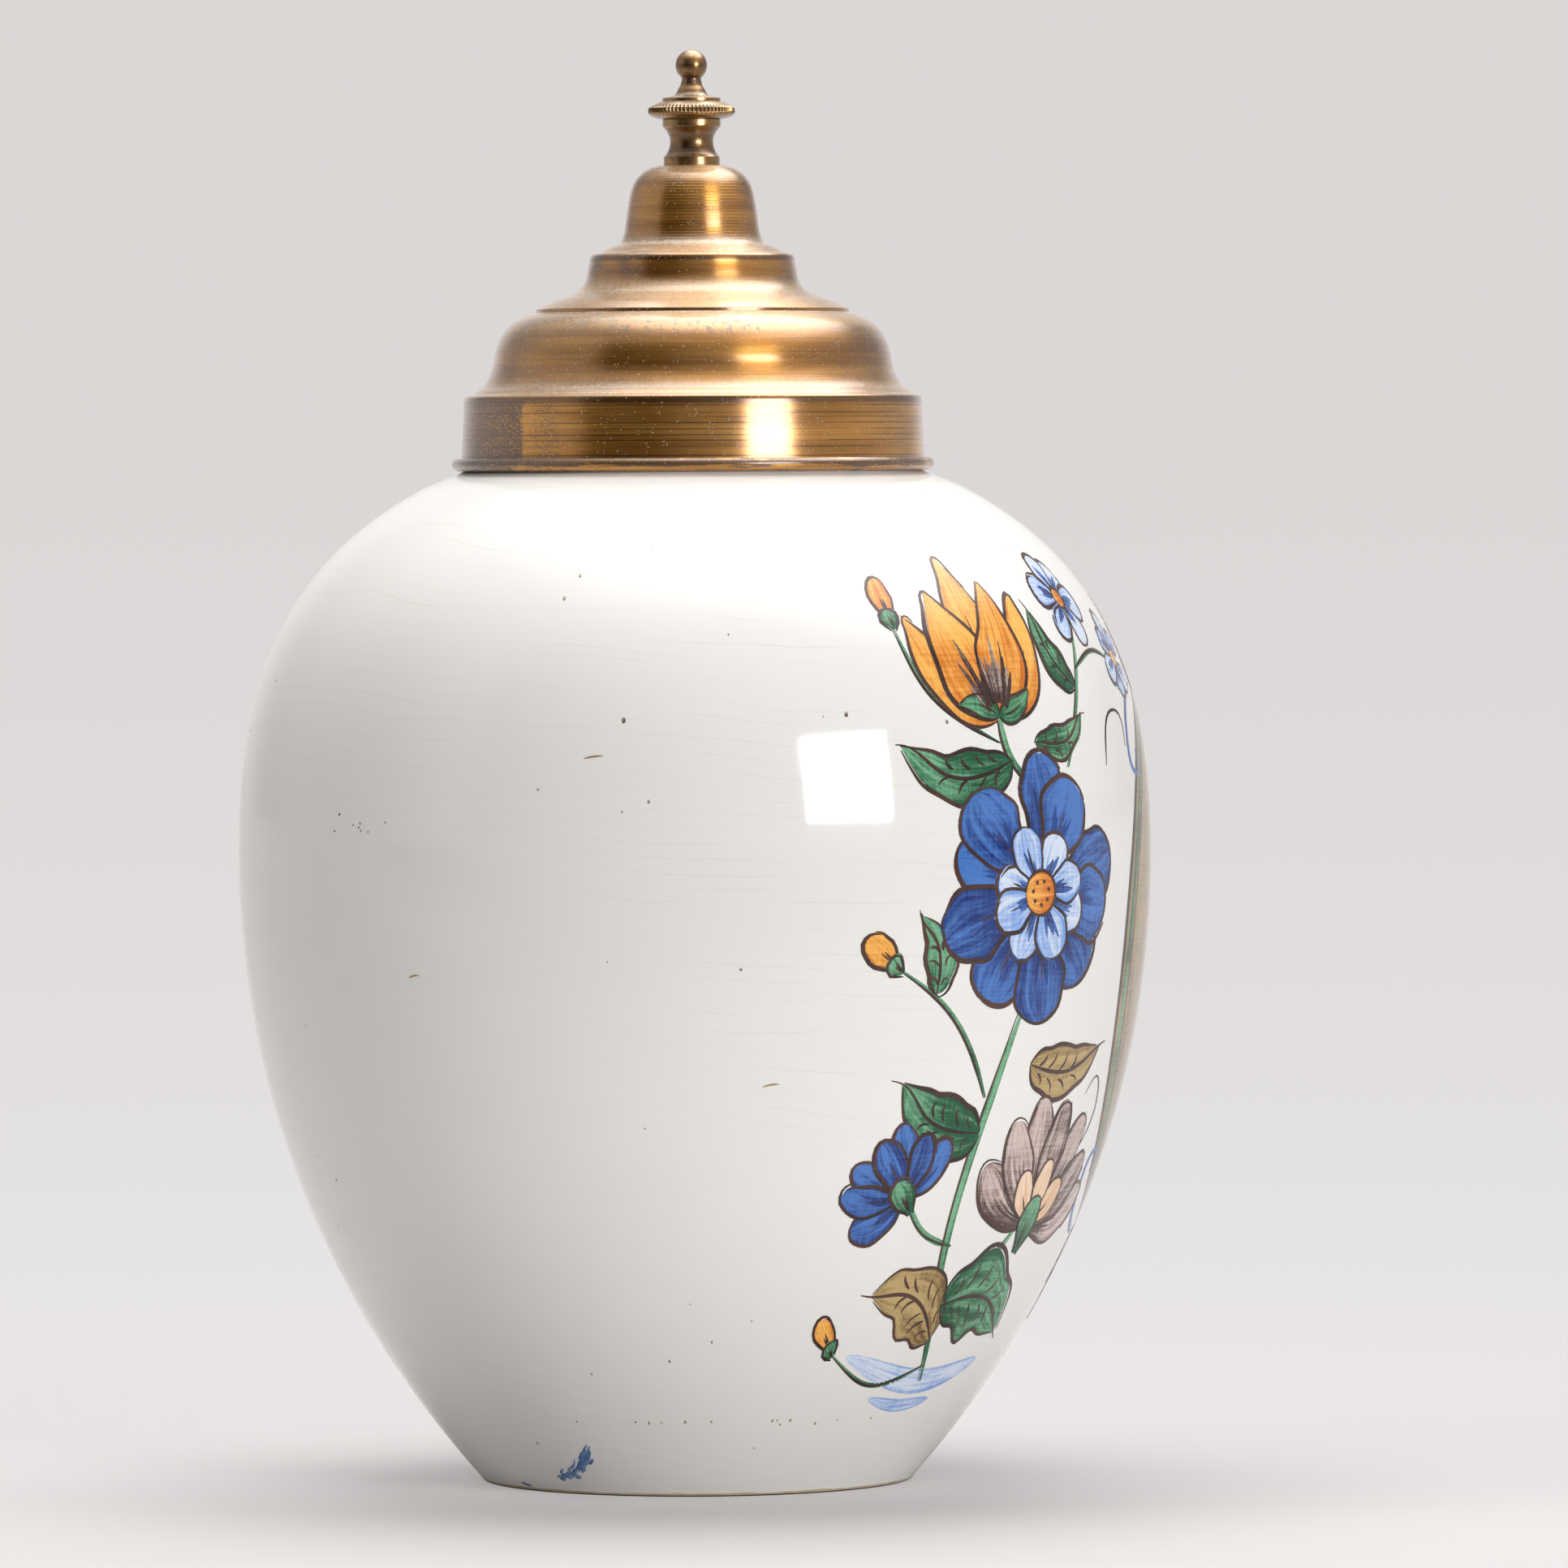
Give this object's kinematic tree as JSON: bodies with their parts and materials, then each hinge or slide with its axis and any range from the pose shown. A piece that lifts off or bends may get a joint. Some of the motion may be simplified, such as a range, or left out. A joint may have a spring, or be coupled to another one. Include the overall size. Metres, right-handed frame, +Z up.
{
  "type": "tobacco jar",
  "caption": "Ovoid tin-glazed pottery jar on a flat foot ring, with a stepped spun-brass lid that lifts off and a turned brass knob with a milled ring.",
  "frame": {"origin": "centre of the foot, on the surface that the jar stands on", "axes": "+Z up along the jar's axis; the painted front of the jar faces -Y"},
  "size_m": [0.2114, 0.2114, 0.3306],
  "materials": {
    "tin_glaze": "glossy white tin glaze, slightly warm, finely crazed",
    "spun_brass": "aged sheet brass with fine spinning lines and brown patina",
    "turned_brass": "turned solid brass, darker and smoother than the lid"
  },
  "bodies": {
    "jar": {"jar_body": "tin_glaze"},
    "lid": {"lid_shell": "spun_brass", "finial_spool": "turned_brass", "finial_stud": "turned_brass", "lid_washer": "spun_brass", "lid_nut": "turned_brass"},
    "knob": {"finial_milled_ring": "turned_brass", "finial_knob": "turned_brass"}
  },
  "joints": [
    {"name": "lid_lift", "type": "slide", "parent": "jar", "child": "lid", "axis": [0, 0, 1], "range_m": [0, 0.12]},
    {"name": "knob_turn", "type": "hinge", "parent": "lid", "child": "knob", "pos_m": [0, 0, 0.3145], "axis": [0, 0, 1], "continuous": true}
  ]
}
